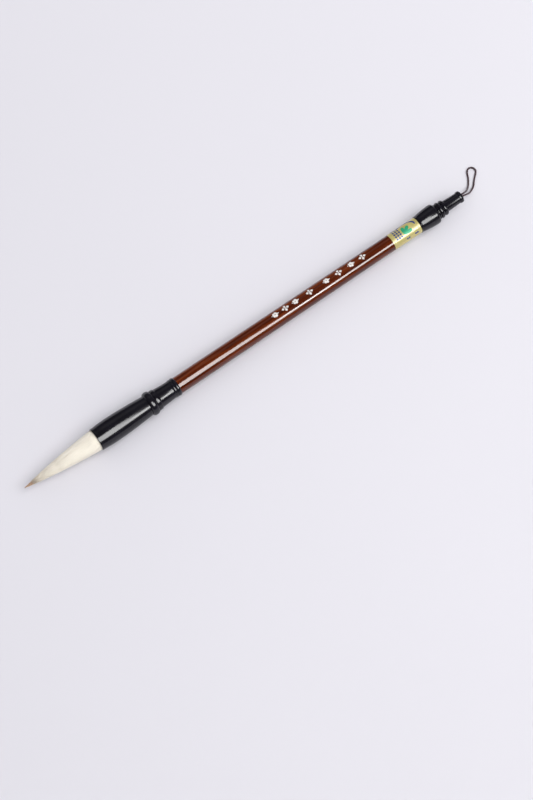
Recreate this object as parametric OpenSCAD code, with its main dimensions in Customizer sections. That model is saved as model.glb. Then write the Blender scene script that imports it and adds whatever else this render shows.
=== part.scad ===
// A large calligraphy brush that lies on its side, with its axis along X.
// The hair points to -X and the hanging loop lies beyond the cap at +X.
// Stations are distances in millimetres along the axis from the tip of the hair.
// The widest turning of the ferrule touches Z = 0.

/* [Lengths] */
// Length from the tip of the hair to the end of the cap
total_l = 280; // [270:1:290]
// Length of the hair in front of the ferrule
tuft_l = 44.5; // [43:0.5:48]
// Length of the ferrule
ferrule_l = 51; // [49:0.5:54]
// Length of the foil label
label_l = 17.5; // [14:0.5:22]
// Length of the cap
cap_l = 29; // [28:0.5:31]

/* [Hair] */
// Diameter of the hair at the ferrule's mouth
tuft_d = 11.6; // [11:0.1:11.8]
// Length of the brown point of the core that shows in front of the white hair
point_l = 6.5; // [5:0.5:9]
// Thickness of the white cover hair at the mouth
cover_t = 1.6; // [1.2:0.1:2]
// Diameter of the brown core at the mouth
core_d = 3.6; // [3:0.1:4.4]
// How far in front of the mouth the hair bends
bend_out = 3.2; // [3:0.1:3.6]

/* [Ferrule] */
// Widest diameter of the barrel
barrel_d = 13.6; // [13.4:0.1:14.4]
// Diameter of the straight land at the mouth
mouth_d = 12.8; // [12.6:0.1:13.2]
// Length of the straight land at the mouth
land_l = 1.5; // [1:0.5:2.5]
// Diameter at the narrow end of the barrel
throat_d = 11.2; // [10.8:0.1:11.8]
// Diameter of the large bead
bead_d = 13.5; // [13:0.1:13.6]
// Diameter of the flat ring behind the bead
collar_d = 11.9; // [11.4:0.1:12.4]
// Narrowest diameter of the waist
waist_d = 9.8; // [9.6:0.1:10.2]
// Diameter of the rear rim
rim_d = 10.5; // [10.4:0.1:11]

/* [Shaft] */
// Diameter where the shaft leaves the ferrule
shaft_front_d = 9.5; // [9:0.1:9.8]
// Diameter under the label and at the cap
shaft_back_d = 9; // [8.6:0.1:9.2]
// Diameter of the tenon in the ferrule
front_tenon_d = 6.8; // [6:0.1:7.2]
// Length of the tenon in the ferrule
front_tenon_l = 18; // [14:0.5:20]
// Diameter of the tenon in the cap
back_tenon_d = 5.7; // [5:0.1:5.9]
// Length of the tenon in the cap
back_tenon_l = 9; // [7:0.5:9]
// Depth of the engraved ornaments
mark_depth = 0.35; // [0.2:0.05:0.5]
// How far the row of ornaments is turned from the top
mark_turn = 14; // [-45:1:45]

/* [Cap] */
// Widest diameter of the cap's bell
bell_d = 11.5; // [10.8:0.1:12]
// Diameter of the front end of the bell
bell_front_d = 9.6; // [9.5:0.1:10]
// Diameter of the neck behind the turned rings
neck_d = 6.6; // [6.2:0.1:7]
// Diameter of the end rim
end_rim_d = 6.7; // [6.4:0.1:7]

/* [Cord] */
// Diameter of the cord
cord_d = 1; // [0.8:0.1:1]

/* [Hidden] */

round_fn = 96;
pin_fn = 32;
curve_steps = 14;
fit = 0.05;

// Stations along the axis
mouth_at = tuft_l;
bend_at = mouth_at - bend_out;
ferrule_end = mouth_at + ferrule_l;
cap_at = total_l - cap_l;
label_at = cap_at - label_l;
axis_z = max(barrel_d, bead_d) / 2;

// Hair and its root
ball_r = tuft_r(bend_at);
cup_r = ball_r + 0.3;
cover_front_t = 0.3;
core_neck_r = 0.93;
belly_at = point_l + 3.5;
socket_r = 5.85;
socket_l = 16;
root_r = 5.3;
root_end = mouth_at + 13;
thread_at = mouth_at + 7.5;
thread_d = 0.7;
thread_turns = 5;
resin_t = 1.5;

// Ferrule turnings, measured from the mouth
barrel_peak = 0.18 * ferrule_l;
throat_at = 0.631 * ferrule_l;
bead_half = 2;
bead_at = throat_at + 2.2;
collar_at = bead_at + bead_half + 0.15;
collar_w = 2.1;
waist_at = collar_at + collar_w + 0.3;
rim_at = ferrule_l - 3.5;
glue_t = 0.15;
mouth_edge = 0.2;

// Cap turnings, measured from its front end
bell_peak = 10.8;
shoulder_at = 12.3;
neck_at = 18.4;
end_rim_at = cap_l - 2.3;
// Each bead's middle, half width, base radius and top radius
cap_beads = [[12.95, 0.45, 4, 4.4], [14.65, 1, 3.85, 4.6], [17.15, 1, 3.65, 4.35]];
bell_front_w = 1.3;
hole_d = 2.3;
chamber_r = 2;
end_wall = 5;
knot_l = 4;
knot_r = chamber_r - 0.15;

// Marks: where each one is, as a share of the shaft between the ferrule and the label
mark_shares = [0.46, 0.507, 0.554, 0.62, 0.699, 0.756, 0.815, 0.868];
petals = 5;
petal_r = 0.65;
petal_out = 0.95;
bud_out = 1.95;
bud_r = 0.26;
lozenge = 0.95;
lozenge_out = 1;

// Cord route from the hole at the cap's end: +X out, +Y left, Z up from the brush's axis.
// The middle of the route lies on the surface under the brush.
floor_z = -axis_z + cord_d / 2;
strand_y = 0.55;
out_strand = [
    [0, strand_y, 0], [1.4, 0.6, -0.1], [2.8, 0.8, -0.8], [4.1, 1.2, -2], [5.3, 1.8, -3.4],
    [6.5, 2.6, -4.8], [7.8, 3.6, -5.8], [9.2, 5, -6.2], [10.5, 6.7, floor_z],
    [11.7, 8.5, floor_z]
];
loop_top = [
    [12.5, 10.2, floor_z], [13.5, 11.7, floor_z], [15, 12.5, floor_z], [16.7, 12, floor_z],
    [17.5, 10.4, floor_z], [17, 8.7, floor_z], [15.6, 7.3, floor_z]
];
back_strand = [
    [14.1, 6, floor_z], [12.7, 4.6, floor_z], [11.4, 3.2, floor_z], [10, 2.1, -6.2],
    [8.4, 1.2, -5.7], [6.9, 0.5, -4.8], [5.5, -0.1, -3.5], [4.2, -0.4, -2.1],
    [2.8, -0.6, -0.8], [1.4, -0.6, -0.1], [0, -strand_y, 0]
];
cord_sides = 8;

// Radius of the hair at a distance from its tip
function tuft_r(a) =
    let (f = a / tuft_l)
    (pow(f, 0.75) + 1 - pow(1 - f, 1.5)) / 4 * tuft_d;

function cover_inner_r(a) =
    tuft_r(a) - cover_front_t - (cover_t - cover_front_t) * (a - point_l) / (bend_at - point_l);

function core_r(a) =
    core_neck_r + (core_d / 2 - core_neck_r) * (a - point_l) / (bend_at - point_l);

// Distances from a to b in even steps
function steps(a, b, n = curve_steps) = [for (i = [0:n]) a + (b - a) * i / n];

// Points of a sphere about the bend, from one radius to another
function ball(r, from_r, to_r) = [
    for (a = steps(asin(from_r / r), asin(to_r / r)))
    [r * sin(a), bend_at + r * cos(a)]
];

// Points over a half-round turning, with increasing station
function bead(z, half_w, base_r, top_r) = [
    for (a = steps(180, 0))
    [base_r + (top_r - base_r) * sin(a), z + half_w * cos(a)]
];

function shaft_r(u) =
    u > label_at ? shaft_back_d / 2
    : shaft_front_d / 2
        + (shaft_back_d - shaft_front_d) / 2 * (u - ferrule_end) / (label_at - ferrule_end);

// Turns an outline of [radius, station] points about the brush's axis
module turned(outline) {
    translate([-total_l / 2, 0, axis_z])
    rotate([0, 90, 0])
    rotate_extrude($fn = round_fn)
    polygon(outline);
}

function shifted(outline, u) = [for (p = outline) [p[0], p[1] + u]];

module tuft_cover() {
    outer = [for (a = steps(point_l, bend_at)) [tuft_r(a), a]];
    inner = [for (a = steps(bend_at, point_l)) [cover_inner_r(a), a]];
    color("ivory")
    turned(concat(outer, ball(ball_r, ball_r * 0.999, cover_inner_r(bend_at)), inner));
}

module tuft_belly() {
    outer = [for (a = steps(belly_at, bend_at)) [cover_inner_r(a) - fit, a]];
    inner = [for (a = steps(bend_at, belly_at)) [core_r(a) + fit, a]];
    base = ball(ball_r, cover_inner_r(bend_at) - fit, core_d / 2 + fit);
    color("antiquewhite")
    turned(concat(outer, base, inner));
}

module tuft_core() {
    point = [for (a = steps(0, point_l)) [tuft_r(a), a]];
    color("saddlebrown")
    turned(concat(point, [[core_r(point_l), point_l]], ball(ball_r, core_d / 2, 0)));
}

// The bound butt of the hair, with a round seat for the part that bends
module hair_root() {
    seat_r = sqrt(cup_r * cup_r - bend_out * bend_out);
    thread_end = thread_at + thread_turns * thread_d;
    groove_r = root_r - thread_d / 2;
    color("wheat")
    turned(concat(
        [[root_r, mouth_at], [root_r, thread_at], [groove_r, thread_at],
         [groove_r, thread_end], [root_r, thread_end], [root_r - 0.4, root_end],
         [0, root_end]],
        ball(cup_r, 0, seat_r)
    ));
}

module root_thread() {
    inner_r = root_r - thread_d / 2 + fit / 2;
    turns = [
        for (i = [0:thread_turns - 1])
        each bead(thread_at + thread_d * (i + 0.5), thread_d / 2, inner_r + 0.05, root_r)
    ];
    thread_end = thread_at + thread_turns * thread_d;
    color("firebrick")
    turned(concat(turns, [[inner_r, thread_end], [inner_r, thread_at]]));
}

module root_resin() {
    color("darkgoldenrod")
    turned([
        [0, root_end], [root_r - 0.4, root_end], [root_r - 0.4, root_end + resin_t / 2],
        [root_r - 1, root_end + resin_t], [0, root_end + resin_t]
    ]);
}

// The glue between the bound root and the ferrule's socket
module root_glue() {
    front = mouth_at + 1;
    back = mouth_at + socket_l;
    outer_r = socket_r - fit / 2;
    inner_r = root_r + fit;
    resin_end = root_end + resin_t;
    color("khaki")
    turned([
        [inner_r, front], [outer_r, front], [outer_r, back], [0, back], [0, resin_end],
        [inner_r, resin_end]
    ]);
}

module ferrule() {
    mouth_r = mouth_d / 2;
    throat_r = throat_d / 2;
    waist_r = waist_d / 2;
    socket_back = ferrule_l - front_tenon_l - 0.2;
    bore_r = front_tenon_d / 2 + glue_t;
    land_end = mouth_edge + land_l;
    barrel_front = [
        for (v = steps(land_end, barrel_peak))
        let (f = (barrel_peak - v) / (barrel_peak - land_end))
        [barrel_d / 2 - (barrel_d / 2 - mouth_r) * f * f, v]
    ];
    barrel_back = [
        for (v = steps(barrel_peak, throat_at))
        let (f = (v - barrel_peak) / (throat_at - barrel_peak))
        [barrel_d / 2 - (barrel_d / 2 - throat_r) * pow(f, 1.75), v]
    ];
    waist = [
        for (v = steps(waist_at, rim_at - 0.4))
        let (f = 1 - (v - waist_at) / (rim_at - 0.4 - waist_at))
        [waist_r + (collar_d / 2 - 0.5 - waist_r) * pow(f, 1.6), v]
    ];
    collar = [
        [collar_d / 2 - 0.2, collar_at], [collar_d / 2, collar_at + 0.4],
        [collar_d / 2 - 0.05, collar_at + collar_w - 0.5],
        [collar_d / 2 - 0.25, collar_at + collar_w]
    ];
    rims = concat(
        bead(rim_at + 0.85, 0.75, waist_r - 0.1, rim_d / 2 - 0.1),
        bead(rim_at + 2.5, 0.85, waist_r - 0.05, rim_d / 2)
    );
    color("#17161c")
    turned(shifted(concat(
        [[0, socket_l], [socket_r, socket_l], [socket_r, mouth_edge],
         [socket_r + mouth_edge, 0], [mouth_r - mouth_edge, 0], [mouth_r, mouth_edge]],
        barrel_front, barrel_back,
        [[throat_r - 0.15, throat_at + 0.1]],
        bead(bead_at, bead_half, throat_r + 0.1, bead_d / 2),
        collar, waist, rims,
        [[waist_r - 0.1, ferrule_l], [bore_r, ferrule_l], [bore_r, socket_back],
         [0, socket_back]]
    ), mouth_at));
}

// A sleeve of glue round a tenon
module glue_sleeve(tenon_r, from, to) {
    color("khaki")
    turned([
        [tenon_r + 0.02, from], [tenon_r + glue_t - 0.02, from],
        [tenon_r + glue_t - 0.02, to], [tenon_r + 0.02, to]
    ]);
}

module ferrule_glue() {
    glue_sleeve(front_tenon_d / 2, ferrule_end - front_tenon_l + 0.5, ferrule_end - 0.3);
}

module cap_glue() {
    glue_sleeve(back_tenon_d / 2, cap_at + 0.3, cap_at + back_tenon_l - 0.5);
}

module shaft_blank() {
    front_r = front_tenon_d / 2;
    back_r = back_tenon_d / 2;
    turned([
        [0, ferrule_end - front_tenon_l], [front_r - 0.3, ferrule_end - front_tenon_l],
        [front_r, ferrule_end - front_tenon_l + 0.4], [front_r, ferrule_end],
        [shaft_r(ferrule_end) - 0.1, ferrule_end],
        [shaft_r(ferrule_end + 0.1), ferrule_end + 0.1],
        [shaft_back_d / 2, label_at], [shaft_back_d / 2, cap_at], [back_r, cap_at],
        [back_r, cap_at + back_tenon_l - 0.4], [back_r - 0.3, cap_at + back_tenon_l],
        [0, cap_at + back_tenon_l]
    ]);
}

// A five-petalled blossom with a bud before and behind it, standing along +Z
module blossom(h) {
    cylinder(r = petal_r * 0.7, h = h, $fn = pin_fn);
    for (i = [0:petals - 1])
    rotate([0, 0, 360 * i / petals])
    translate([petal_out, 0, 0])
    cylinder(r = petal_r, h = h, $fn = pin_fn);
    for (side = [-1, 1])
    translate([side * bud_out, 0, 0])
    cylinder(r = bud_r, h = h, $fn = pin_fn);
}

// Four lozenges about a small round centre, standing along +Z
module lozenges(h) {
    cylinder(r = petal_r * 0.6, h = h, $fn = pin_fn);
    for (i = [0:3])
    rotate([0, 0, 90 * i])
    translate([i % 2 == 0 ? lozenge_out * 1.35 : lozenge_out, 0, h / 2])
    rotate([0, 0, 45])
    cube([lozenge, lozenge, h], center = true);
}

// Cutters for the engraved ornaments, with their floors mark_depth under the surface
module mark_cutters() {
    for (i = [0:len(mark_shares) - 1]) {
        u = ferrule_end + mark_shares[i] * (label_at - ferrule_end);
        translate([u - total_l / 2, 0, axis_z])
        rotate([-mark_turn, 0, 0])
        translate([0, 0, shaft_r(u) - 0.2 - mark_depth])
        if (i % 2 == 0) blossom(2); else lozenges(2);
    }
}

module shaft() {
    color("#7a2e12")
    difference() {
        shaft_blank();
        mark_cutters();
    }
}

module mark_paint() {
    color("white")
    intersection() {
        shaft_blank();
        mark_cutters();
    }
}

module label() {
    inner_r = shaft_back_d / 2 + 0.01;
    outer_r = shaft_back_d / 2 + 0.12;
    color("#d8c878")
    turned([[inner_r, label_at], [outer_r, label_at], [outer_r, cap_at], [inner_r, cap_at]]);
}

module cap() {
    front_r = bell_front_d / 2;
    bell_r = bell_d / 2;
    neck_r = neck_d / 2;
    bore_r = back_tenon_d / 2 + glue_t;
    bell = [
        for (w = steps(bell_front_w, bell_peak))
        let (f = (w - bell_front_w) / (bell_peak - bell_front_w))
        [front_r + (bell_r - front_r) * (1 - (1 - f) * (1 - f)), w]
    ];
    shoulder = [
        for (a = steps(0, 80, 8))
        [bell_r - (bell_r - 4.4) * (1 - cos(a)), bell_peak + (shoulder_at - bell_peak) * sin(a)]
    ];
    neck = [
        for (w = steps(neck_at, end_rim_at))
        let (f = (w - neck_at) / (end_rim_at - neck_at))
        [neck_r - 0.3 * f * (2 - f), w]
    ];
    color("#17161c")
    turned(shifted(concat(
        [[bore_r, 0], [front_r - 0.2, 0], [front_r, 0.2], [front_r, 0.8],
         [front_r - 0.25, 1], [front_r - 0.25, 1.1]],
        bell, shoulder,
        [for (b = cap_beads) each bead(b[0], b[1], b[2], b[3])],
        neck,
        bead(cap_l - 1.2, 1, end_rim_d / 2 - 0.35, end_rim_d / 2),
        [[end_rim_d / 2 - 0.6, cap_l], [hole_d / 2 + 0.4, cap_l], [hole_d / 2, cap_l - 0.5],
         [hole_d / 2, cap_l - end_wall], [chamber_r, cap_l - end_wall],
         [chamber_r, back_tenon_l + 0.6], [bore_r, back_tenon_l + 0.6]]
    ), cap_at));
}

// The stopper knot, drawn up against the wall behind the cord's hole
module cord_knot() {
    back = total_l - end_wall;
    swell = [
        for (a = steps(-60, 60))
        [knot_r / 2 * (1 + cos(a)), back - knot_l / 2 + (knot_l / 2 - 0.1) * sin(a) / sin(60)]
    ];
    color("#3a1f26")
    turned(concat(
        [[0, back - knot_l], [cord_d * 0.8, back - knot_l]],
        swell,
        [[cord_d * 1.1, back], [0, back]]
    ));
}

function unit(v) = v / norm(v);

// Direction of a route at one of its points
function heading(route, i) =
    unit(route[min(i + 1, len(route) - 1)] - route[max(i - 1, 0)]);

// A tube along a route that nowhere stands upright
module tube(route, d) {
    n = len(route);
    rings = [
        for (i = [0:n - 1])
        let (t = heading(route, i), side = unit(cross([0, 0, 1], t)), up = cross(t, side))
        for (k = [0:cord_sides - 1])
        let (a = 360 * k / cord_sides)
        route[i] + d / 2 * (cos(a) * side + sin(a) * up)
    ];
    walls = [
        for (i = [0:n - 2])
        for (k = [0:cord_sides - 1])
        let (m = (k + 1) % cord_sides, a = i * cord_sides, b = a + cord_sides)
        each [[a + k, b + k, b + m], [a + k, b + m, a + m]]
    ];
    ends = [
        [for (k = [0:cord_sides - 1]) k],
        [for (k = [cord_sides - 1:-1:0]) (n - 1) * cord_sides + k]
    ];
    polyhedron(points = rings, faces = concat(walls, ends), convexity = 6);
}

module cord_loop() {
    route = concat(
        [[-end_wall, strand_y, 0], [-end_wall / 2, strand_y, 0]],
        out_strand, loop_top, back_strand,
        [[-end_wall / 2, -strand_y, 0], [-end_wall, -strand_y, 0]]
    );
    color("#3a1f26")
    translate([total_l / 2, 0, axis_z])
    tube(route, cord_d);
}

tuft_cover();
tuft_belly();
tuft_core();
hair_root();
root_thread();
root_resin();
root_glue();
ferrule();
ferrule_glue();
shaft();
mark_paint();
label();
cap_glue();
cap();
cord_knot();
cord_loop();
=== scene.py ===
"""The looks of a large calligraphy brush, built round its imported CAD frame. Lengths are in metres.

The brush lies along X, with the hair at -X. A place on it is given as (x, radius, angle) about
the brush's axis, with the angle in radians from the top (+Z) towards +Y.
"""

from math import cos, pi, radians, sin, sqrt

import bmesh
import bpy
import numpy as np
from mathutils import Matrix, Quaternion, Vector
from mathutils.geometry import delaunay_2d_cdt


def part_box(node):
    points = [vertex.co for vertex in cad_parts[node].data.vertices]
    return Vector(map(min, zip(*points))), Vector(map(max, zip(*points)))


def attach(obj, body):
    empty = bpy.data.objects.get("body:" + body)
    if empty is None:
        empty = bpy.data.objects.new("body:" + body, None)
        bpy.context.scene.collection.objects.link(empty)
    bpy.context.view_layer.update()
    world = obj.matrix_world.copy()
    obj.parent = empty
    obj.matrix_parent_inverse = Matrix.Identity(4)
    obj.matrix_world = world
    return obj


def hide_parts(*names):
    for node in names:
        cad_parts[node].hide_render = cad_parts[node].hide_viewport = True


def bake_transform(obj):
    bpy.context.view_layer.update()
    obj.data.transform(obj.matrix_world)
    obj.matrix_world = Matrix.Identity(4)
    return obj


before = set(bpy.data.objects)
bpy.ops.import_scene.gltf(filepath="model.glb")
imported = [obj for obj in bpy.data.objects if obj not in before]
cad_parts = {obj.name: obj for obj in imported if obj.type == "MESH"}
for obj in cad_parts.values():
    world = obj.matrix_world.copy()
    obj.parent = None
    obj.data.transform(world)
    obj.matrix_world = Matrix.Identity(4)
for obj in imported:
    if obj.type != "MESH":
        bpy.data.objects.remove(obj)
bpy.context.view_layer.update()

MM = 0.001
rng = np.random.default_rng(7)

# Places from the frame
TIP_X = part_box("tuft_core")[0].x
MOUTH_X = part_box("ferrule")[0].x
FERRULE_END_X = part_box("ferrule")[1].x
LABEL_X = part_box("label")[0].x
CAP_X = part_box("cap")[0].x
END_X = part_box("cap")[1].x
BARREL_R = (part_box("ferrule")[1].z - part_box("ferrule")[0].z) / 2
AXIS_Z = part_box("ferrule")[0].z + BARREL_R
CORD_R = 0.5 * MM


# ---------------------------------------------------------------- camera


def make_camera():
    elevation, heading = radians(70), radians(35.71)
    distance, lens = 1.45, 126.0
    aim = Vector((-0.0114, -0.0334, AXIS_Z))
    away = Vector((sin(heading), cos(heading), 0))
    view = away * cos(elevation) - Vector((0, 0, sin(elevation)))
    camera = bpy.data.objects.new("camera", bpy.data.cameras.new("camera"))
    camera.data.lens = lens
    camera.data.clip_start, camera.data.clip_end = 0.01, 20
    camera.location = aim - view * distance
    camera.rotation_euler = view.to_track_quat("-Z", "Y").to_euler()
    bpy.context.scene.collection.objects.link(camera)
    bpy.context.scene.camera = camera


# ---------------------------------------------------------------- materials


class Nodes:
    """Short calls for building one material's node tree."""

    def __init__(self, name, **values):
        self.material = bpy.data.materials.new(name)
        self.material.use_nodes = True
        self.tree = self.material.node_tree
        self.shader = self.tree.nodes["Principled BSDF"]
        self.set(self.shader, **values)

    def set(self, node, **values):
        for key, value in values.items():
            node.inputs[key.replace("_", " ")].default_value = value

    def add(self, kind, inputs=None, **settings):
        node = self.tree.nodes.new(kind)
        for key, value in settings.items():
            setattr(node, key, value)
        for key, value in (inputs or {}).items():
            if isinstance(value, bpy.types.NodeSocket):
                self.tree.links.new(value, node.inputs[key])
            else:
                node.inputs[key].default_value = value
        return node

    def place(self, scale=(1, 1, 1), turn=(0, 0, 0)):
        """Object coordinates, which are the row frame's, stretched."""
        coordinates = self.add("ShaderNodeTexCoord").outputs["Object"]
        inputs = {"Vector": coordinates, "Scale": scale, "Rotation": turn}
        return self.add("ShaderNodeMapping", inputs).outputs["Vector"]

    def noise(self, vector, scale, detail=3, rough=0.5, distortion=0):
        inputs = {
            "Vector": vector,
            "Scale": scale,
            "Detail": detail,
            "Roughness": rough,
            "Distortion": distortion,
        }
        return self.add("ShaderNodeTexNoise", inputs).outputs["Fac"]

    def attribute(self, name):
        return self.add("ShaderNodeAttribute", attribute_name=name).outputs["Fac"]

    def math(self, operation, a, b=0.0):
        return self.add("ShaderNodeMath", {0: a, 1: b}, operation=operation).outputs[0]

    def ramp(self, value, *stops):
        """A colour ramp of (position, colour or grey) stops."""
        node = self.add("ShaderNodeValToRGB", {"Fac": value})
        elements = node.color_ramp.elements
        while len(elements) < len(stops):
            elements.new(0.5)
        for element, (position, colour) in zip(elements, stops):
            element.position = position
            element.color = (*colour, 1) if isinstance(colour, tuple) else (colour,) * 3 + (1,)
        return node.outputs["Color"]

    def mix(self, share, a, b, blend="MIX"):
        node = self.add("ShaderNodeMix", data_type="RGBA", blend_type=blend)
        for socket, value in ((node.inputs[0], share), (node.inputs[6], a), (node.inputs[7], b)):
            if isinstance(value, bpy.types.NodeSocket):
                self.tree.links.new(value, socket)
            else:
                socket.default_value = (*value, 1) if isinstance(value, tuple) else value
        return node.outputs[2]

    def colour(self, socket):
        self.tree.links.new(socket, self.shader.inputs["Base Color"])

    def roughness(self, socket, low, high):
        inputs = {"Value": socket, "To Min": low, "To Max": high}
        node = self.add("ShaderNodeMapRange", inputs)
        self.tree.links.new(node.outputs[0], self.shader.inputs["Roughness"])

    def bump(self, height, distance, strength=1.0):
        inputs = {"Height": height, "Distance": distance, "Strength": strength}
        node = self.add("ShaderNodeBump", inputs)
        self.tree.links.new(node.outputs["Normal"], self.shader.inputs["Normal"])


def hair_material(name, light, dark, brown):
    """Hair whose strands differ at random in colour, with painted shade in the hair bodies' grooves,
    turning brown where the attribute brown is high.
    """
    m = Nodes(name, IOR=1.5, Sheen_Weight=0.4, Sheen_Roughness=0.4, Specular_IOR_Level=0.35)
    streaks = m.noise(m.place((0.05, 1, 1)), 3500, 3, 0.6)
    # Painted shade: the attribute is low in the hair bodies' deepest grooves and darkens the cream and the
    # brown there; on strands it is their own random colour.
    tone_and_groove_shade = m.math("ADD", m.math("MULTIPLY", streaks, 0.45), m.math("MULTIPLY", m.attribute("tone_and_groove_shade"), 0.6))
    hair = m.ramp(tone_and_groove_shade, (0.2, dark), (0.55, light), (0.9, tuple(min(1, c * 1.06) for c in light)))
    brown_tone = m.ramp(m.attribute("tone_and_groove_shade"), (0.1, tuple(c * 0.6 for c in brown)), (0.9, brown))
    m.colour(m.mix(m.attribute("brown"), hair, brown_tone))
    m.roughness(streaks, 0.55, 0.75)
    m.bump(streaks, 0.03 * MM, 0.5)
    return m.material


def black_material(name):
    """Polished black, like ox horn, with faint streaks, smudges and fine turning marks."""
    m = Nodes(name, IOR=1.43)
    cloud = m.noise(m.place(), 120, 4, 0.6)
    fibres = m.noise(m.place((0.08, 1, 1)), 2600, 3, 0.55)
    deep = m.ramp(cloud, (0.3, (0.0048, 0.0046, 0.0066)), (0.7, (0.0095, 0.0092, 0.0140)))
    m.colour(m.mix(m.math("MULTIPLY", fibres, 0.3), deep, (0.020, 0.017, 0.023)))
    smudge = m.noise(m.place((0.6, 1, 1)), 260, 5, 0.65)
    m.roughness(smudge, 0.11, 0.22)
    rings = m.noise(m.place((1, 0.02, 0.02)), 3000, 2, 0.5)
    scratches = m.noise(m.place((0.03, 1, 1), (0.2, 0.1, 0.3)), 7000, 2, 0.5)
    height = m.math("ADD", m.math("MULTIPLY", rings, 0.6), m.math("MULTIPLY", scratches, 0.4))
    m.bump(height, 0.004 * MM, 0.08)
    return m.material


def wood_material(name):
    """Red-brown hardwood under clear gloss lacquer: long bands, fine grain and dark pores."""
    m = Nodes(name, IOR=1.5, Specular_IOR_Level=0.0, Coat_Weight=1.0, Coat_Roughness=0.06, Coat_IOR=1.5)
    bands = m.noise(m.place((0.045, 1, 1)), 420, 4, 0.55, 0.6)
    grain = m.noise(m.place((0.022, 1, 1)), 2400, 5, 0.62)
    fine = m.noise(m.place((0.012, 1, 1)), 7500, 3, 0.6)
    ground = m.ramp(
        bands,
        (0.28, (0.052, 0.008, 0.003)),
        (0.47, (0.115, 0.019, 0.005)),
        (0.62, (0.185, 0.036, 0.008)),
        (0.80, (0.270, 0.064, 0.013)),
    )
    shade = m.ramp(grain, (0.34, 0.45), (0.62, 1.0))
    pores = m.ramp(fine, (0.30, 0.35), (0.40, 1.0))
    m.colour(m.mix(0.7, m.mix(0.75, ground, shade, "MULTIPLY"), pores, "MULTIPLY"))
    m.roughness(grain, 0.35, 0.5)
    m.bump(m.math("ADD", grain, fine), 0.006 * MM, 0.2)
    return m.material


def paint_material(name):
    """White paint rubbed into the engraving, slightly uneven."""
    m = Nodes(name, IOR=1.45, Specular_IOR_Level=0.4)
    patches = m.noise(m.place(), 1800, 4, 0.6)
    m.colour(m.ramp(patches, (0.3, (0.62, 0.58, 0.54)), (0.6, (0.86, 0.85, 0.82))))
    m.roughness(patches, 0.45, 0.7)
    m.bump(patches, 0.04 * MM, 0.6)
    return m.material


def foil_material(name):
    """Pale gold foil on paper, with a fine crinkle."""
    m = Nodes(name, Metallic=0.12, IOR=1.5, Specular_IOR_Level=1.0, Coat_Weight=0.5, Coat_Roughness=0.18)
    sheen = m.noise(m.place((1, 0.4, 0.4)), 240, 3, 0.5)
    m.colour(m.ramp(sheen, (0.3, (0.46, 0.385, 0.11)), (0.7, (0.60, 0.52, 0.18))))
    crinkle = m.noise(m.place(), 2200, 3, 0.6)
    m.roughness(crinkle, 0.28, 0.40)
    wave = m.math("ADD", m.math("MULTIPLY", crinkle, 0.4), m.math("MULTIPLY", sheen, 1.2))
    m.bump(wave, 0.02 * MM, 0.3)
    return m.material


def ink_material(name, colour):
    """A printed ink that lets a little of the foil's sheen through."""
    m = Nodes(name, IOR=1.5, Metallic=0.1)
    patches = m.noise(m.place(), 2500, 3, 0.6)
    m.colour(m.ramp(patches, (0.3, tuple(c * 0.75 for c in colour)), (0.7, colour)))
    m.roughness(patches, 0.35, 0.5)
    return m.material


def cord_material(name):
    """Dark maroon braided cord, with painted shade: near black in the gaps between its yarns."""
    m = Nodes(name, IOR=1.45, Sheen_Weight=0.4, Sheen_Roughness=0.5, Specular_IOR_Level=0.25)
    fibre = m.noise(m.place(), 6500, 3, 0.6)
    yarn = m.ramp(fibre, (0.3, (0.050, 0.018, 0.026)), (0.7, (0.120, 0.050, 0.066)))
    # Painted shade: where crown is low, between the yarns, the colour goes near black.
    m.colour(m.mix(m.attribute("crown"), (0.020, 0.008, 0.012), yarn))
    m.roughness(fibre, 0.6, 0.85)
    m.bump(fibre, 0.03 * MM, 0.6)
    return m.material


def grainy_material(name, low, high, scale, rough, **values):
    """A plain procedural material for the parts hidden inside: two tones, grain and bump."""
    m = Nodes(name, **values)
    grain = m.noise(m.place(), scale, 4, 0.6)
    m.colour(m.ramp(grain, (0.3, low), (0.7, high)))
    m.roughness(grain, rough, rough + 0.2)
    m.bump(grain, 0.03 * MM, 0.5)
    return m.material


def floor_material(name):
    """Matt, very pale lilac grey."""
    m = Nodes(name, Specular_IOR_Level=0.2)
    cloud = m.noise(m.place(), 3, 3, 0.5)
    m.colour(m.ramp(cloud, (0.3, (0.725, 0.716, 0.757)), (0.7, (0.738, 0.729, 0.770))))
    m.roughness(cloud, 0.85, 0.95)
    fine = m.noise(m.place(), 900, 2, 0.5)
    m.bump(fine, 0.03 * MM, 0.2)
    return m.material


# ---------------------------------------------------------------- mesh helpers


def smooth(mesh, sharp):
    """Shades a mesh smooth, but for edges sharper than sharp degrees."""
    mesh.shade_smooth()
    mesh.set_sharp_from_angle(angle=radians(sharp))


def add_piece(name, verts, faces, material, slot, sharp=40, attributes=None):
    """A mesh object in the row frame. Each attribute has one value per point."""
    mesh = bpy.data.meshes.new(name)
    mesh.from_pydata(np.asarray(verts).tolist(), [], faces)
    for key, values in (attributes or {}).items():
        layer = mesh.attributes.new(key, "FLOAT", "POINT")
        layer.data.foreach_set("value", np.asarray(values, np.float32))
    mesh.validate()
    smooth(mesh, sharp)
    mesh.materials.append(material)
    piece = bpy.data.objects.new(name, mesh)
    bpy.context.scene.collection.objects.link(piece)
    return piece


def clean(piece, distance=1e-7):
    """Joins points that meet and turns every face outwards."""
    mesh = bmesh.new()
    mesh.from_mesh(piece.data)
    bmesh.ops.remove_doubles(mesh, verts=mesh.verts, dist=distance)
    bmesh.ops.recalc_face_normals(mesh, faces=mesh.faces)
    mesh.to_mesh(piece.data)
    mesh.free()
    return piece


def around(x, r, angle):
    """Points at a place about the brush's axis."""
    x, r, angle = np.broadcast_arrays(x, r, angle)
    return np.stack([x, r * np.sin(angle), AXIS_Z + r * np.cos(angle)], -1)


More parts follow.
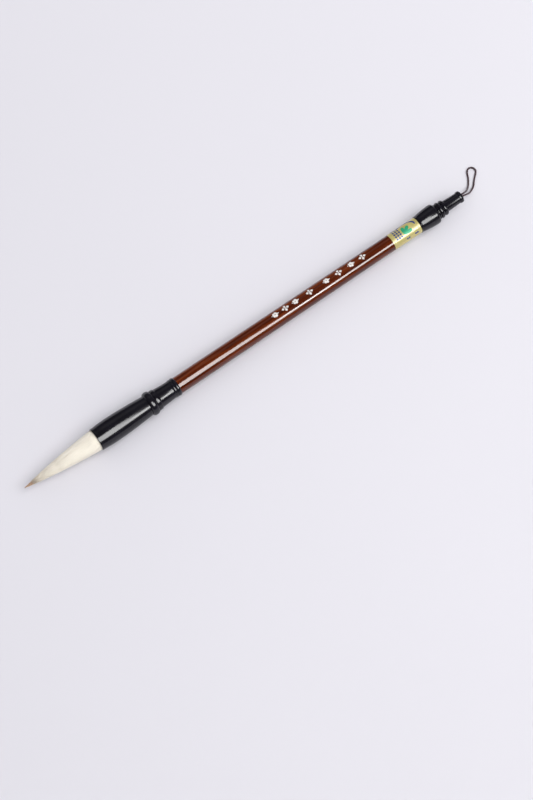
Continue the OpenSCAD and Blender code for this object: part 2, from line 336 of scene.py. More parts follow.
def grid_faces(rows, columns, close_rows=False):
    """Quads over rows of points that close on themselves. The last row may join the first."""
    i = np.arange(rows if close_rows else rows - 1)[:, None]
    j = np.arange(columns)[None, :]
    i2, j2 = (i + 1) % rows, (j + 1) % columns
    corners = [i * columns + j, i2 * columns + j, i2 * columns + j2, i * columns + j2]
    return np.stack(np.broadcast_arrays(*corners), -1).reshape(-1, 4).tolist()


def tube_faces(rows, sides):
    """The faces of a tube over rows of points, with a flat face at each end."""
    last = rows * sides - 1
    return grid_faces(rows, sides) + [list(range(sides)), list(range(last, last - sides, -1))]


def used_only(verts, faces):
    """The points that faces use, and the faces numbered to match."""
    used = np.unique(np.concatenate([np.ravel(face) for face in faces]))
    place = np.zeros(len(verts), int)
    place[used] = np.arange(len(used))
    return verts[used], [[int(place[i]) for i in face] for face in faces]


def lathe(name, outline, material):
    """A turned black piece from a closed outline of (x, radius) points."""
    sides, sharp = 160, 28
    outline = np.array(outline)
    angles = np.linspace(0, 2 * pi, sides, endpoint=False)
    verts = around(outline[:, :1], outline[:, 1:], angles[None, :]).reshape(-1, 3)
    faces = grid_faces(len(outline), sides, close_rows=True)
    piece = clean(add_piece(name, verts, faces, material, "black_horn"))
    smooth(piece.data, sharp)
    return piece


def steps(a, b, n):
    """The ends of n equal steps from a to b."""
    return np.linspace(a, b, n + 1)


def bead(x, half, base, top, n=20):
    """The outline of a half-round turning about x, from its front to its back."""
    angles = steps(pi, 0, n)
    return list(zip(x + half * np.cos(angles), base + (top - base) * np.sin(angles)))


# ---------------------------------------------------------------- turned black pieces


def make_ferrule(material):
    """Barrel, large bead, flat ring, waist and two rear rings, with the bores for hair and shaft."""

    def at(v):
        """A place v mm behind the mouth."""
        return MOUTH_X + v * MM

    length = (FERRULE_END_X - MOUTH_X) / MM
    peak, throat, rim = 0.18 * length, 0.631 * length, length - 3.5
    bead_at = throat + 2.2
    collar = bead_at + 2.15
    waist = collar + 2.4
    top = BARREL_R / MM
    mouth_r, throat_r, waist_r, land_end = 6.4, 5.6, 4.9, 1.7
    hair_bore_r, hair_bore_end = 5.85, 16
    shaft_bore_r, shaft_bore_start = 3.55, length - 18.2
    outline = [(hair_bore_end, 0), (hair_bore_end, hair_bore_r), (0.25, hair_bore_r), (0.1, 5.9)]
    outline += [(0.02, 6.02), (0.02, 6.18), (0.06, 6.3), (0.15, 6.38), (0.3, mouth_r), (land_end, mouth_r)]
    for v in steps(land_end, peak, 24)[1:]:
        outline.append((v, top - (top - mouth_r) * ((peak - v) / (peak - land_end)) ** 2))
    for v in steps(peak, throat, 48)[1:]:
        outline.append((v, top - (top - throat_r) * ((v - peak) / (throat - peak)) ** 1.75))
    outline.append((throat + 0.15, throat_r - 0.12))
    outline += bead(bead_at, 2, throat_r + 0.05, 6.75, 36)
    outline += [(collar, 5.62), (collar + 0.08, 5.8), (collar + 0.25, 5.92), (collar + 0.5, 5.95)]
    outline += [(collar + 1.6, 5.9), (collar + 1.85, 5.86), (collar + 2.02, 5.76), (collar + 2.1, 5.6)]
    waist_end = rim - 0.3
    for v in steps(waist, waist_end, 30):
        share = 1 - (v - waist) / (waist_end - waist)
        outline.append((v, waist_r + 0.55 * share**1.6))
    outline += bead(rim + 0.85, 0.75, waist_r - 0.1, 5.15)
    outline += bead(rim + 2.5, 0.85, waist_r - 0.05, 5.25)
    outline += [(length, waist_r - 0.12), (length, shaft_bore_r)]
    outline += [(shaft_bore_start, shaft_bore_r), (shaft_bore_start, 0)]
    piece = lathe("ferrule_turning", [(at(v), r * MM) for v, r in outline], material)
    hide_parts("ferrule")
    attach(piece, "brush")


def make_cap(material):
    """Bell, three rings, neck and end rim, with the shaft's socket, the knot's chamber and the hole."""

    def at(w):
        """A place w mm behind the cap's front end."""
        return CAP_X + w * MM

    length = (END_X - CAP_X) / MM
    socket_r, socket_end = 3, 9.6
    chamber_r, chamber_end, hole_r = 2, length - 5, 1.15
    front_r, groove_r, groove_end = 4.8, 4.56, 1.35
    bell_swell, bell_end, shoulder_l, shoulder_drop = 0.95, 10.8, 1.5, 1.35
    neck_start, neck_end, neck_r, neck_taper = 18.4, length - 2.35, 3.3, 0.3
    outline = [(0, socket_r), (0.02, 4.6), (0.08, 4.72), (0.2, 4.79), (0.65, front_r), (0.8, 4.74)]
    outline += [(0.95, groove_r), (1.12, groove_r), (1.25, 4.72)]
    for w in steps(groove_end, bell_end, 40):
        share = (w - groove_end) / (bell_end - groove_end)
        outline.append((w, front_r + bell_swell * (1 - (1 - share) ** 2)))
    for a in steps(0, 80, 20)[1:]:
        drop = shoulder_drop * (1 - cos(radians(a)))
        outline.append((bell_end + shoulder_l * sin(radians(a)), front_r + bell_swell - drop))
    rings = ((12.95, 0.42, 4, 4.4), (14.65, 0.97, 3.85, 4.6), (17.15, 0.97, 3.65, 4.35))
    for place, half, base, top in rings:
        outline += bead(place, half, base, top, 16)
    for w in steps(neck_start, neck_end, 24):
        share = (w - neck_start) / (neck_end - neck_start)
        outline.append((w, neck_r - neck_taper * share * (2 - share)))
    outline += bead(length - 1.2, 1, 3, 3.35)
    outline += [(length - 0.06, 2.8), (length, 2.68), (length, 1.62), (length - 0.1, 1.42)]
    outline += [(length - 0.3, 1.24), (length - 0.6, hole_r), (chamber_end, hole_r)]
    outline += [(chamber_end, chamber_r), (socket_end, chamber_r), (socket_end, socket_r), (0, socket_r)]
    piece = lathe("cap_turning", [(at(w), r * MM) for w, r in outline], material)
    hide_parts("cap")
    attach(piece, "brush")


# ---------------------------------------------------------------- hanging cord

# The cord's route in mm from the hole in the cap's end, as in the CAD source: X out, Y left, Z from
# the brush's axis. At FLOOR the cord lies on the surface.
FLOOR = -6.3
STRAND_Y = 0.55
CORD_ROUTE = [
    (-5, STRAND_Y, 0), (-2.5, STRAND_Y, 0),
    (0, STRAND_Y, 0), (1.4, 0.6, -0.1), (2.8, 0.8, -0.8), (4.1, 1.2, -2), (5.3, 1.8, -3.4),
    (6.5, 2.6, -4.8), (7.8, 3.6, -5.8), (9.2, 5, -6.2), (10.5, 6.7, FLOOR), (11.7, 8.5, FLOOR),
    (12.5, 10.2, FLOOR), (13.5, 11.7, FLOOR), (15, 12.5, FLOOR), (16.7, 12, FLOOR),
    (17.5, 10.4, FLOOR), (17, 8.7, FLOOR), (15.6, 7.3, FLOOR), (14.1, 6, FLOOR),
    (12.7, 4.6, FLOOR), (11.4, 3.2, FLOOR), (10, 2.1, -6.2), (8.4, 1.2, -5.7), (6.9, 0.5, -4.8),
    (5.5, -0.1, -3.5), (4.2, -0.4, -2.1), (2.8, -0.6, -0.8), (1.4, -0.6, -0.1),
    (0, -STRAND_Y, 0), (-2.5, -STRAND_Y, 0), (-5, -STRAND_Y, 0),
]


def smooth_route(points, spacing):
    """Even points along a Catmull-Rom curve through the given ones."""
    points = np.array(points, float)
    ends = [2 * points[0] - points[1], 2 * points[-1] - points[-2]]
    padded = np.vstack([ends[0], points, ends[1]])
    t = np.linspace(0, 1, 24, endpoint=False)[:, None]
    fine = []
    for a, b, c, d in zip(padded, padded[1:], padded[2:], padded[3:]):
        cubic = 2 * b + (c - a) * t + (2 * a - 5 * b + 4 * c - d) * t**2
        fine.append((cubic + (3 * b - a - 3 * c + d) * t**3) / 2)
    fine = np.vstack([*fine, points[-1:]])
    travelled = np.r_[0, np.cumsum(np.linalg.norm(np.diff(fine, axis=0), axis=1))]
    even = np.linspace(0, travelled[-1], round(travelled[-1] / spacing) + 1)
    return np.stack([np.interp(even, travelled, fine[:, k]) for k in range(3)], -1), travelled[-1]


def make_cord(material):
    """A braided tube: yarns wind both ways round it, and pass over and under each other."""
    hole = np.array([END_X, 0, AXIS_Z])
    sides, yarns, pitch, relief = 24, 4, 3.4 * MM, 0.14
    spacing, bend_l = 0.1 * MM, 4 * MM
    line, length = smooth_route(np.array(CORD_ROUTE) * MM + hole, spacing)
    ahead = np.gradient(line, axis=0)
    ahead /= np.linalg.norm(ahead, axis=1)[:, None]
    side = np.cross([0, 0, 1], ahead)
    side /= np.linalg.norm(side, axis=1)[:, None]
    up = np.cross(ahead, side)
    angle = np.linspace(0, 2 * pi, sides, endpoint=False)[None, :]
    wind = (np.linspace(0, length, len(line)) * 2 * pi / pitch)[:, None]
    crown = np.abs(np.cos(yarns / 2 * (angle - wind)) * np.cos(yarns / 2 * (angle + wind)))
    radius = (CORD_R * (1 - relief + relief * crown))[..., None]
    around_line = np.cos(angle)[..., None] * side[:, None] + np.sin(angle)[..., None] * up[:, None]
    verts = (line[:, None] + radius * around_line).reshape(-1, 3)
    faces = tube_faces(len(line), sides)
    # crown is high on the yarns and low in the gaps between them, which the material paints dark as shade.
    piece = add_piece("hanging_cord", verts, faces, material, "cord", 60, {"crown": crown.ravel()})
    clean(piece)
    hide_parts("cord_loop")
    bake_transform(piece)


# ---------------------------------------------------------------- hair

TUFT_L = MOUTH_X - TIP_X
TUFT_R = 5.8 * MM
BEND_X = MOUTH_X - 3.2 * MM
POINT_L = 6.5 * MM


def tuft_r(station):
    """Radius of the hair at a distance from its tip."""
    f = np.clip(station / TUFT_L, 0, 1.05)
    return (f**0.75 + 1 - np.clip(1 - f, 0, 1) ** 1.5) / 2 * TUFT_R


def bend_hair(piece):
    """Bakes the hair piece's placement into its points; the hair is not bent."""
    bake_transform(piece)


def smooth_noise(rows, columns, smooth_rows):
    """Seeded noise over a grid that is closed across its columns and drawn out along its rows."""
    values = rng.normal(size=(rows + 2 * smooth_rows, columns))
    kernel = np.hanning(2 * smooth_rows + 3)[1:-1]
    kernel /= np.sqrt((kernel**2).sum())
    return np.stack([np.convolve(v, kernel, "valid") for v in values.T], -1)[:rows]


def brown_share(station, fade):
    """How brown the hair is at a distance from the tip, falling away over the length fade."""
    return np.exp(-((station / fade) ** 1.5))


def hair_body(name, stations, radii, material, slot, node, groove, brown_fade):
    """A closed body of packed hair with fine lengthwise grooves, no deeper than groove, and painted shade
    in them.
    """
    rows, sides = len(stations), 300
    ridges = smooth_noise(rows, sides, 9)
    angles = np.linspace(0, 2 * pi, sides, endpoint=False)[None, :]
    depth = groove * np.clip(0.5 + 0.35 * ridges, 0, 1)
    r = np.maximum(radii[:, None] - np.minimum(depth, 0.05 * radii[:, None]), 0.002 * MM)
    verts = around((TIP_X + stations)[:, None], r, angles).reshape(-1, 3)
    faces = tube_faces(rows, sides)
    # Painted shade: where the noise cuts a groove deeper, this value falls, so the grooves are painted
    # darker.
    tone_and_groove_shade = np.clip(0.8 - 0.2 * ridges, 0, 1).ravel()
    attributes = {"tone_and_groove_shade": tone_and_groove_shade, "brown": np.repeat(brown_share(stations, brown_fade), sides)}
    piece = add_piece(name, verts, faces, material, slot, 80, attributes)
    clean(piece)
    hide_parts(node)
    bend_hair(piece)


def hair_strands(name, count, start, ends, layer, thick, material, slot, brown_fade):
    """Fine closed strands along the tuft, from start to one of the ends, both measured from the tip.

    layer is the range of their depth as a share of the tuft's radius."""
    points, sides = 12, 3
    t = np.linspace(0, 1, points)[None, :]
    phi = rng.uniform(0, 2 * pi, count)[:, None]
    end = rng.choice(ends, count)[:, None] + rng.normal(0, 0.6 * MM, (count, 1))
    end = np.clip(end, 0.0, TUFT_L * 0.8)
    begin = start + rng.uniform(0, 1.2 * MM, (count, 1))
    station = begin + (end - begin) * t
    wander = rng.normal(0, 0.035, (count, 1)) * np.sin(pi * t + rng.uniform(0, pi, (count, 1)))
    angle = phi + wander + rng.normal(0, 0.05, (count, 1)) * t
    depth = rng.uniform(*layer, (count, 1))
    lift = np.abs(rng.normal(0, 0.06 * MM, (count, 1))) * t**2
    radius = tuft_r(station) * depth + lift
    width = thick * rng.uniform(0.75, 1.15, (count, 1)) * (1 - 0.75 * t**2.2)
    ring = np.linspace(0, 2 * pi, sides, endpoint=False)
    r = radius[..., None] + width[..., None] * np.cos(ring)
    a = angle[..., None] + width[..., None] * np.sin(ring) / np.maximum(r, 0.05 * MM)
    x = np.broadcast_to((TIP_X + station)[..., None], r.shape)
    verts = around(x, r, a).reshape(-1, 3)
    base = np.arange(count)[:, None] * points * sides
    walls = np.array(grid_faces(points, sides))
    faces = (base[:, :, None] + walls[None]).reshape(-1, 4).tolist()
    faces += (base + np.arange(sides)).tolist()
    faces += (base + points * sides - 1 - np.arange(sides)).tolist()
    tone_and_groove_shade = np.broadcast_to(rng.uniform(0, 1, (count, 1, 1)), r.shape)
    brown = np.broadcast_to(brown_share(station, brown_fade)[..., None], r.shape)
    attributes = {"tone_and_groove_shade": tone_and_groove_shade.ravel(), "brown": brown.ravel()}
    bend_hair(add_piece(name, verts, faces, material, slot, 180, attributes))


def make_tuft(cover_material, core_material):
    """White cover hair over a cream belly and a stiff brown core that shows at the point."""
    # The cover's back end stays inside a ball about the bend
    ball_r, back_r, inset, cover_fade = 5.6 * MM, 4 * MM, 0.16 * MM, 6.5 * MM
    back = BEND_X - TIP_X + sqrt(ball_r**2 - back_r**2)
    cover = np.r_[steps(4.4 * MM, TUFT_L, 110), TUFT_L + 1.2 * MM, back]
    cover_r = tuft_r(cover) - inset
    cover_r[-1] = back_r
    cover_r[0] *= 0.8
    hair_body(
        "cover_hair", cover, cover_r, cover_material, "white_hair", "tuft_cover",
        groove=0.18 * MM, brown_fade=cover_fade,
    )
    belly = steps(10 * MM, TUFT_L, 60)
    hair_body(
        "belly_hair", belly, tuft_r(belly) * 0.72, cover_material, "belly_hair", "tuft_belly",
        groove=0.15 * MM, brown_fade=1 * MM,
    )
    core = steps(0.6 * MM, TUFT_L - 1 * MM, 90)
    core_r = np.minimum(tuft_r(core) * 0.82, 0.7 * MM + 0.0225 * (core - POINT_L))
    hair_body(
        "core_hair", core, core_r, core_material, "core_hair", "tuft_core",
        groove=0.1 * MM, brown_fade=TUFT_L,
    )
    # Few cover strands reach the point, and most end well behind it
    cover_ends = np.repeat([5.0, 6.5, 9.0, 13.0, 20.0], [10, 8, 14, 20, 48]) * MM
    hair_strands(
        "cover_strands", count=2900, start=TUFT_L - 0.4 * MM, ends=cover_ends, layer=(0.955, 1.0),
        thick=0.075 * MM, material=cover_material, slot="white_hair", brown_fade=cover_fade,
    )
    point_ends = np.array([0.0, 0.6, 1.5, 2.5]) * MM
    hair_strands(
        "point_strands", count=420, start=8 * MM, ends=point_ends, layer=(0.35, 0.9),
        thick=0.06 * MM, material=core_material, slot="core_hair", brown_fade=12 * MM,
    )


# ---------------------------------------------------------------- engraved shaft

SHAFT_FRONT_R = 4.75 * MM
SHAFT_BACK_R = 4.5 * MM
MARK_TURN = radians(14)
MARK_SHARES = [0.46, 0.507, 0.554, 0.62, 0.699, 0.756, 0.815, 0.868]
MARK_DEPTH = 0.16 * MM
PAINT_DEPTH = 0.05 * MM


def shaft_r(x):
    """Radius of the shaft, which tapers from the ferrule to the label."""
    share = np.clip((x - FERRULE_END_X) / (LABEL_X - FERRULE_END_X), 0, 1)
    return SHAFT_FRONT_R + (SHAFT_BACK_R - SHAFT_FRONT_R) * share


def rotated(points, angle):
    """Flat points turned about their origin."""
    return points @ np.array([[cos(angle), sin(angle)], [-sin(angle), cos(angle)]])


def petal(centre, out, length, width, angle, n=20):
    """A pointed petal's outline, growing from the centre of its flower."""
    t = np.linspace(0, 2 * pi, n, endpoint=False)
    along = out + length / 2 * (1 - np.cos(t))
    across = width / 2 * np.sin(t) * (0.75 - 0.35 * np.cos(t))
    return rotated(np.stack([along, across], -1), angle) + centre


def disc(centre, r):
    """A round outline."""
    t = np.linspace(0, 2 * pi, 16, endpoint=False)
    return np.stack([np.cos(t), np.sin(t)], -1) * r + centre


def lozenge(centre, length, width, angle):
    """A lozenge with slightly hollow sides."""
    hollow = 1.7
    t = np.linspace(0, 2 * pi, 24, endpoint=False)
    along = np.sign(np.cos(t)) * np.abs(np.cos(t)) ** hollow * length / 2
    across = np.sign(np.sin(t)) * np.abs(np.sin(t)) ** hollow * width / 2
    return rotated(np.stack([along, across], -1), angle) + centre


def blossom(centre):
    """A five-petalled blossom between two buds."""
    shapes = [petal(centre, 0.15 * MM, 1.5 * MM, 1.7 * MM, radians(72 * k)) for k in range(5)]
    shapes += [disc(centre + np.array([side * 1.95 * MM, 0]), 0.28 * MM) for side in (-1, 1)]
    return shapes


def star(centre):
    """Four lozenges about a small round centre."""
    shapes = [disc(centre, 0.34 * MM)]
    for k in range(4):
        out = 1.35 * MM if k % 2 == 0 else 1.1 * MM
        angle = radians(90 * k)
        away = np.array([cos(angle), sin(angle)]) * out
        shapes.append(lozenge(centre + away, 1.7 * MM, 1.5 * MM, angle))
    return shapes


def inside(points, outline):
    """Which points lie in a closed outline."""
    x, y = points[:, 0], points[:, 1]
    result = np.zeros(len(points), bool)
    for (x1, y1), (x2, y2) in zip(outline, np.roll(outline, -1, axis=0)):
        crosses = (y1 > y) != (y2 > y)
        with np.errstate(divide="ignore", invalid="ignore"):
            at = (x2 - x1) * (y - y1) / (y2 - y1) + x1
        result ^= crosses & (x < at)
    return result


def flat_grid(along, across):
    """Every pair of the two lists' values, as flat points."""
    return np.stack(np.meshgrid(along, across, indexing="ij"), -1).reshape(-1, 2)


def triangulate(grid, outlines):
    """Triangles over a grid of flat points that follow the outlines' edges."""
    points = [Vector(p) for p in grid]
    edges = []
    for outline in outlines:
        first = len(points)
        points += [Vector(p) for p in outline]
        n = len(outline)
        edges += [(first + k, first + (k + 1) % n) for k in range(n)]
    made = delaunay_2d_cdt(points, edges, [], 0, 1e-9)
    flat = np.array([tuple(p) for p in made[0]])
    faces = np.array([f for f in made[2] if len(f) == 3])
    return flat, faces


def rim_edges(faces):
    """Edges that only one of the faces has, each in that face's direction."""
    edges = np.concatenate([faces[:, [0, 1]], faces[:, [1, 2]], faces[:, [2, 0]]])
    key = np.sort(edges, axis=1)
    _, first, count = np.unique(key, axis=0, return_index=True, return_counts=True)
    return edges[first[count == 1]]


def round_normals(piece):
    """Exact normals for faces that lie round the brush's axis, and flat ones for the rest."""
    mesh = piece.data
    points = np.array([v.co for v in mesh.vertices])
    radial = points - [0, 0, AXIS_Z]
    radial[:, 0] = 0
    radial /= np.maximum(np.linalg.norm(radial, axis=1), 1e-9)[:, None]
    normals = []
    for face in mesh.polygons:
        corners = list(face.vertices)
        middle = radial[corners].mean(axis=0)
        lies_round = np.dot(face.normal, middle) > 0.9 and len(corners) < 5
        normals += [tuple(radial[i]) if lies_round else tuple(face.normal) for i in corners]
    mesh.normals_split_custom_set(normals)


def make_shaft(wood, paint):
    """The lacquered shaft, with ornaments cut into it and filled with white paint.

    The surface is laid out flat as (x, distance round from the row of ornaments), divided
    along the ornaments' edges, and wrapped back."""
    flat_r = SHAFT_BACK_R
    half_round = pi * flat_r
    outlines = []
    for k, share in enumerate(MARK_SHARES):
        x = FERRULE_END_X + share * (LABEL_X - FERRULE_END_X)
        outlines += (blossom if k % 2 == 0 else star)(np.array([x, 0.0]))
    columns = 96
    grid = flat_grid(steps(FERRULE_END_X, CAP_X, 160), steps(-half_round, half_round, columns))
    # A closer grid round the ornaments, shaken a little so that no points line up
    first, last = outlines[0][:, 0].min() - 1 * MM, outlines[-1][:, 0].max() + 1 * MM
    close = flat_grid(np.arange(first, last, 0.3 * MM), np.arange(-2.2, 2.21, 0.2) * MM)
    close += rng.uniform(-0.03, 0.03, close.shape) * MM
    flat, faces = triangulate(np.vstack([grid, close]), outlines)
    middle = flat[faces].mean(axis=1)
    cut = np.zeros(len(faces), bool)
    for outline in outlines:
        cut |= inside(middle, outline)
    rim = rim_edges(faces[cut])

    def wrapped(depth):
        x, s = flat[:, 0], flat[:, 1]
        return around(x, shaft_r(x) - depth, MARK_TURN + s / flat_r)

    n = len(flat)
    verts = np.vstack([wrapped(0), wrapped(MARK_DEPTH)])
    walls = np.stack([rim[:, 0], rim[:, 1], rim[:, 1] + n, rim[:, 0] + n], -1)
    faces_all = faces[~cut].tolist() + (faces[cut] + n).tolist() + walls.tolist()
    angles = MARK_TURN + np.linspace(0, 2 * pi, columns, endpoint=False) - pi
    # Both tenons, out from the shaft's ends, each with a small chamfer
    front_r, back_r = 3.4 * MM, 2.85 * MM
    front = [(FERRULE_END_X, SHAFT_FRONT_R), (FERRULE_END_X, front_r)]
    front += [(FERRULE_END_X - 17.6 * MM, front_r), (FERRULE_END_X - 18 * MM, 3.1 * MM)]
    back = [(CAP_X, SHAFT_BACK_R), (CAP_X, back_r)]
    back += [(CAP_X + 8.6 * MM, back_r), (CAP_X + 9 * MM, 2.55 * MM)]
    for tenon in (front, back):
        outline = np.array(tenon)
        start = len(verts)
        rings = around(outline[:, :1], outline[:, 1:], angles[None, :]).reshape(-1, 3)
        verts = np.vstack([verts, rings])
        faces_all += [[i + start for i in f] for f in grid_faces(len(outline), columns)]
        faces_all.append(list(range(len(verts) - columns, len(verts))))
    piece = add_piece("shaft_wood", verts, faces_all, wood, "lacquered_wood")
    clean(piece, 1e-6)
    round_normals(piece)
    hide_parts("shaft")
    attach(piece, "brush")

    rough = rng.normal(0, 0.006 * MM, n)
    verts = np.vstack([wrapped(PAINT_DEPTH + rough), wrapped(MARK_DEPTH - 0.01 * MM)])
    faces_all = faces[cut].tolist() + (faces[cut][:, ::-1] + n).tolist()
    faces_all += walls[:, ::-1].tolist()
    filling = clean(add_piece("ornament_paint", *used_only(verts, faces_all), paint, "white_paint"))
    smooth(filling.data, 50)
    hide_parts("mark_paint")
    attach(filling, "brush")


# ---------------------------------------------------------------- foil label


def patch(name, outlines, angle, lift, base, material):
    """A thin printed patch on the label: outlines of (x, distance round) wrapped at an angle."""
    low = np.min([o.min(axis=0) for o in outlines], axis=0)
    high = np.max([o.max(axis=0) for o in outlines], axis=0)
    spacing = 0.25 * MM
    axes = [np.arange(low[k] - 0.1 * MM, high[k] + 0.3 * MM, spacing) for k in (0, 1)]
    flat, faces = triangulate(flat_grid(*axes), outlines)
    middle = flat[faces].mean(axis=1)
    kept = np.zeros(len(faces), bool)
    for outline in outlines:
        kept |= inside(middle, outline)
    faces = faces[kept]
    rim = rim_edges(faces)
    n = len(flat)
    x, turned = flat[:, 0], angle + flat[:, 1] / base
    verts = np.vstack([around(x, base + lift, turned), around(x, base - lift / 2, turned)])
    walls = np.stack([rim[:, 1], rim[:, 0], rim[:, 0] + n, rim[:, 1] + n], -1)
    faces_all = faces.tolist() + (faces[:, ::-1] + n).tolist() + walls.tolist()
    piece = clean(add_piece(name, *used_only(verts, faces_all), material, "gold_foil"))
    smooth(piece.data, 40)
    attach(piece, "brush")


def arc_band(centre, r, width, start, end):
    """A crescent-like band round part of a circle, widest in its middle."""
    n = 28
    a = np.radians(np.linspace(start, end, n))
    half = width / 2 * np.sin(np.linspace(0.15, pi - 0.15, n)) ** 0.5
    outer = np.stack([np.cos(a), np.sin(a)], -1) * (r + half)[:, None]
    inner = np.stack([np.cos(a), np.sin(a)], -1) * (r - half)[:, None]
    return np.vstack([outer, inner[::-1]]) + centre


def make_label(foil, navy, green):
    """A foil sleeve with embossed lines near both ends and a seam underneath."""
    length = (CAP_X - LABEL_X) / MM
    outer = SHAFT_BACK_R + 0.12 * MM
    inner = SHAFT_BACK_R + 0.01 * MM
    # In mm: gaps to the neighbours, margins with fine rows, an embossed line's depth and half-width,
    # and how much the foil rises at its seam and drops at its ends
    edge, margin, line_depth, line_half, rise = 0.02, 2.4, 0.035, 0.07, 0.05
    front_rows, back_rows = steps(edge, margin, 120), steps(length - margin, length - edge, 120)
    rows = np.unique(np.r_[front_rows, steps(margin, length - margin, 30), back_rows])
    sides = 180
    angles = np.linspace(0, 2 * pi, sides, endpoint=False)
    profile = np.zeros(len(rows))
    for place in (0.75, 1.15, 1.9, length - 1.9, length - 1.15, length - 0.75):
        profile -= line_depth * np.exp(-(((rows - place) / line_half) ** 2))
    seam_at, seam_half, seam_soft = radians(196), radians(6), radians(0.5)
    seam = rise / (1 + np.exp((np.abs(angles - seam_at) - seam_half) / seam_soft))
    fade = np.clip(np.minimum(rows, length - rows) / 0.1, 0, 1) ** 0.5
    r = outer - rise * MM + (rise * fade + profile)[:, None] * MM + (seam - rise)[None, :] * MM
    x = (LABEL_X + rows * MM)[:, None]
    outer_face = around(x, r, angles[None, :]).reshape(-1, 3)
    inner_face = around(x[::-1], inner, angles[None, :]).reshape(-1, 3)
    verts = np.vstack([outer_face, inner_face])
    faces = grid_faces(2 * len(rows), sides, close_rows=True)
    piece = clean(add_piece("label_foil", verts, faces, foil, "gold_foil"))
    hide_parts("label")
    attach(piece, "brush")

    face_r = outer - rise * MM
    for side, angle in (("top", 0), ("under", pi)):
        for part, outlines, ink in (
            ("navy_roof", roof_outlines(), navy),
            ("green_leaves", leaf_outlines(), green),
            ("navy_rows", row_outlines(), navy),
        ):
            patch(f"label_{part}_{side}", outlines, angle, 0.02 * MM, face_r, ink)


def on_label(along, up):
    """A flat place on the label: distance from its front edge, and round from the top, in mm."""
    return np.array([LABEL_X + along * MM, up * MM])


def roof_outlines():
    """Two crescents, one over the other."""
    return [
        arc_band(on_label(9.6, 0.6), 4.8 * MM, 1.5 * MM, 40, 140),
        arc_band(on_label(12.0, 0.4), 3.6 * MM, 1.2 * MM, -5, 75),
    ]


def leaf_outlines():
    """Three leaves that fan out from one foot."""
    foot = on_label(7.5, -1.9)
    turns = ((6, 5.0), (40, 5.4), (76, 4.4))
    return [petal(foot, 0.25 * MM, length * MM, 2.4 * MM, radians(turn), 40) for turn, length in turns]


def row_outlines():
    """Three rows of small lozenges round the label, and a few more on its lower side."""
    places = [(along, 1.5 * k - 2.0) for along in (2.9, 4.4, 5.9) for k in range(6)]
    places += [(8.2, -4.8), (9.4, -4.8), (13.6, -4.8), (14.8, -4.8)]
    return [lozenge(on_label(along, up), 1.35 * MM, 1.35 * MM, 0) for along, up in places]


# ---------------------------------------------------------------- hidden CAD pieces


def finish_inner_nodes(cord):
    """Materials for the CAD pieces that stay as they are, inside the ferrule and the cap."""
    bound = grainy_material("bound_hair", (0.55, 0.46, 0.30), (0.75, 0.66, 0.47), 3000, 0.6)
    thread = grainy_material("red_thread", (0.30, 0.02, 0.02), (0.45, 0.05, 0.04), 5000, 0.6)
    resin = grainy_material("rosin", (0.35, 0.16, 0.02), (0.55, 0.30, 0.05), 600, 0.15, Coat_Weight=0.5)
    glue = grainy_material("set_glue", (0.55, 0.47, 0.25), (0.68, 0.60, 0.38), 900, 0.4)
    inner = {
        "hair_root": bound,
        "root_thread": thread,
        "root_resin": resin,
        "root_glue": glue,
        "ferrule_glue": glue,
        "cap_glue": glue,
        "cord_knot": cord,
    }
    for node, material in inner.items():
        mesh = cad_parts[node].data
        mesh.materials.clear()
        mesh.materials.append(material)


# ---------------------------------------------------------------- stage and light


def make_stage():
    """A wide pale floor under an even sky that reflections don't show."""
    floor = bpy.data.objects.new("floor", bpy.data.meshes.new("floor"))
    half = 4
    corners = [(-half, -half, 0), (half, -half, 0), (half, half, 0), (-half, half, 0)]
    floor.data.from_pydata(corners, [], [(0, 1, 2, 3)])
    floor.data.materials.append(floor_material("pale_backdrop"))
    bpy.context.scene.collection.objects.link(floor)

    world = bpy.data.worlds.new("studio")
    world.use_nodes = True
    background = world.node_tree.nodes["Background"]
    background.inputs["Color"].default_value = (0.975, 0.965, 1.0, 1)
    background.inputs["Strength"].default_value = 0.65
    world.cycles_visibility.glossy = False
    bpy.context.scene.world = world


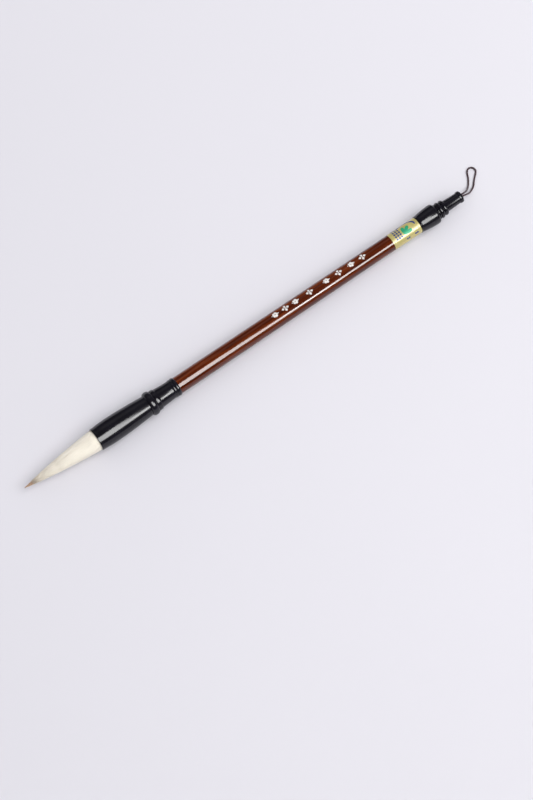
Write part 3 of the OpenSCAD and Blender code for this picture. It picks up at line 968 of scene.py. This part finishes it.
def add_softbox(name, lean, distance, size, power, reflected, centre_x, turn=0):
    """A rectangular light over the brush, leaning from overhead towards -Y by lean degrees.

    It only shows as a reflection, or only gives diffuse light. turn is its angle in its own plane."""
    light = bpy.data.lights.new(name, "AREA")
    light.shape = "RECTANGLE"
    light.size, light.size_y = size
    light.energy = power
    lamp = bpy.data.objects.new(name, light)
    away = Vector((0, -sin(radians(lean)), cos(radians(lean))))
    lamp.location = away * distance + Vector((centre_x, 0, 0))
    facing = away.to_track_quat("Z", "Y") @ Quaternion((0, 0, 1), radians(turn))
    lamp.rotation_euler = facing.to_euler()
    lamp.visible_glossy = reflected
    lamp.visible_diffuse = not reflected
    bpy.context.scene.collection.objects.link(lamp)


def make_lights():
    """Three softboxes for the reflections along the brush, and one that lights it and the floor."""
    add_softbox(
        "key_reflection", lean=34, distance=1.5, size=(0.74, 1.12), power=35,
        reflected=True, centre_x=0.01, turn=9,
    )
    add_softbox(
        "key_end", lean=42, distance=1.5, size=(0.28, 0.55), power=7.6,
        reflected=True, centre_x=0.52, turn=9,
    )
    add_softbox(
        "back_reflection", lean=-42, distance=1.8, size=(1.2, 0.9), power=0.8,
        reflected=True, centre_x=0.5,
    )
    add_softbox(
        "key_glow", lean=22, distance=1.9, size=(1.3, 1.6), power=33,
        reflected=False, centre_x=1,
    )


# ---------------------------------------------------------------- the brush

make_camera()
cord_look = cord_material("braided_cord")
make_cord(cord_look)
black = black_material("polished_black")
make_ferrule(black)
make_cap(black)
cream = hair_material(
    "goat_hair", light=(0.95, 0.90, 0.79), dark=(0.90, 0.84, 0.72), brown=(0.92, 0.75, 0.54)
)
brown_core = hair_material(
    "brown_hair", light=(0.76, 0.52, 0.33), dark=(0.56, 0.34, 0.20), brown=(0.68, 0.42, 0.25)
)
make_tuft(cream, brown_core)
make_shaft(wood_material("lacquered_hardwood"), paint_material("rubbed_white_paint"))
make_label(
    foil_material("gold_foil"),
    ink_material("navy_ink", (0.02, 0.06, 0.25)),
    ink_material("green_ink", (0.02, 0.42, 0.20)),
)
finish_inner_nodes(cord_look)
make_stage()
make_lights()
bpy.context.scene.view_settings.view_transform = "Standard"
